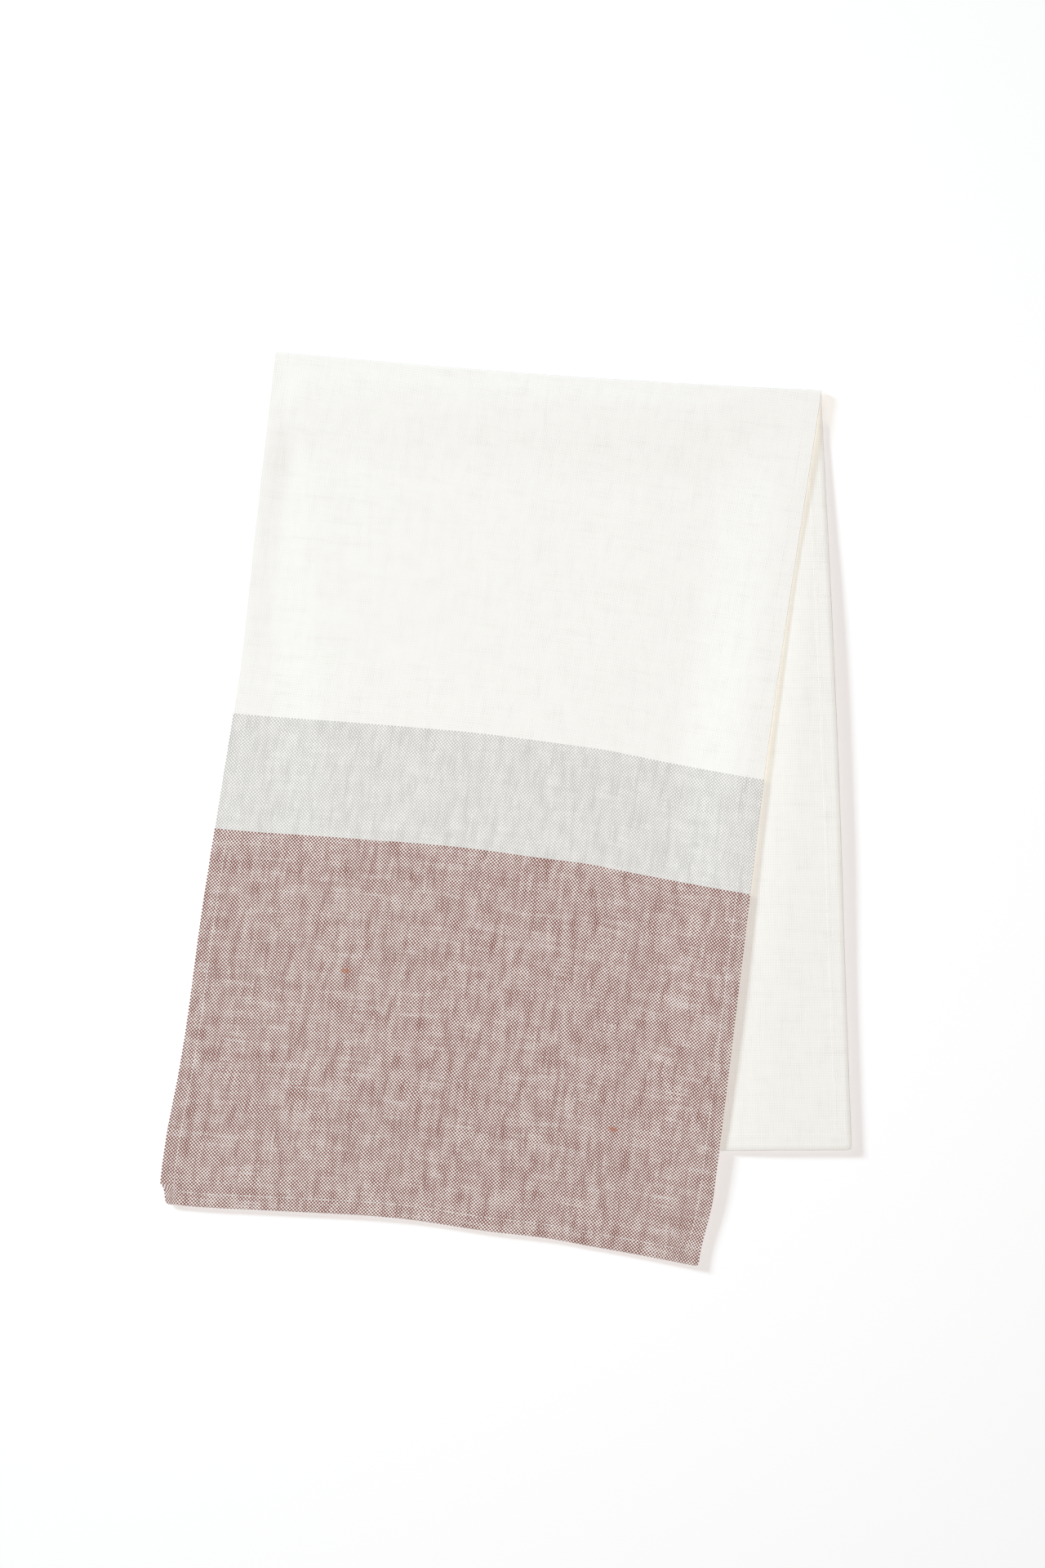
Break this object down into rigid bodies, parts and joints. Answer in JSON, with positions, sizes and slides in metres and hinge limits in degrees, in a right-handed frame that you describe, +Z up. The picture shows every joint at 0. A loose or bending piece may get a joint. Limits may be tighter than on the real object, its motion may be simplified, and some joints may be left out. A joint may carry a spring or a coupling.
{
  "type": "table runner",
  "caption": "Woven table runner folded once across its width, with coloured bands at one end and narrow turned hems sewn all round; the upper half unfolds about the fold.",
  "frame": {"origin": "on the table, in the middle of the folded cloth's outline", "axes": "+X along the fold to the right, +Y from the hemmed ends towards the fold, +Z up"},
  "size_m": [0.5036, 0.6528, 0.008],
  "materials": {
    "white_cloth": "matt slubby plain weave, undyed white yarn both ways",
    "grey_cloth": "matt slubby plain weave, white warp and pale grey weft",
    "brown_cloth": "matt slubby plain weave, white warp and red-brown weft with darker flecks",
    "sewing_thread": "matt twisted sewing thread"
  },
  "bodies": {
    "under_half": {"fold": "white_cloth", "fold_left_hem": "white_cloth", "fold_right_hem": "white_cloth", "under_end_hem": "white_cloth", "under_end_stitching": "sewing_thread", "under_left_corner": "white_cloth", "under_left_hem": "white_cloth", "under_left_stitching": "sewing_thread", "under_right_corner": "white_cloth", "under_right_hem": "white_cloth", "under_right_stitching": "sewing_thread", "under_white_field": "white_cloth"},
    "upper_half": {"brown_band": "brown_cloth", "grey_band": "grey_cloth", "upper_end_hem": "brown_cloth", "upper_end_stitching": "sewing_thread", "upper_left_corner": "brown_cloth", "upper_left_hem_brown": "brown_cloth", "upper_left_hem_grey": "grey_cloth", "upper_left_hem_white": "white_cloth", "upper_left_stitching": "sewing_thread", "upper_right_corner": "brown_cloth", "upper_right_hem_brown": "brown_cloth", "upper_right_hem_grey": "grey_cloth", "upper_right_hem_white": "white_cloth", "upper_right_stitching": "sewing_thread", "upper_white_field": "white_cloth"}
  },
  "joints": [
    {"name": "unfold", "type": "hinge", "parent": "under_half", "child": "upper_half", "pos_m": [-0.01404, 0.32637, 0.00315], "axis": [-1, 0, 0], "range_deg": [0, 180], "deforming": ["fold", "fold_left_hem", "fold_right_hem"]}
  ]
}
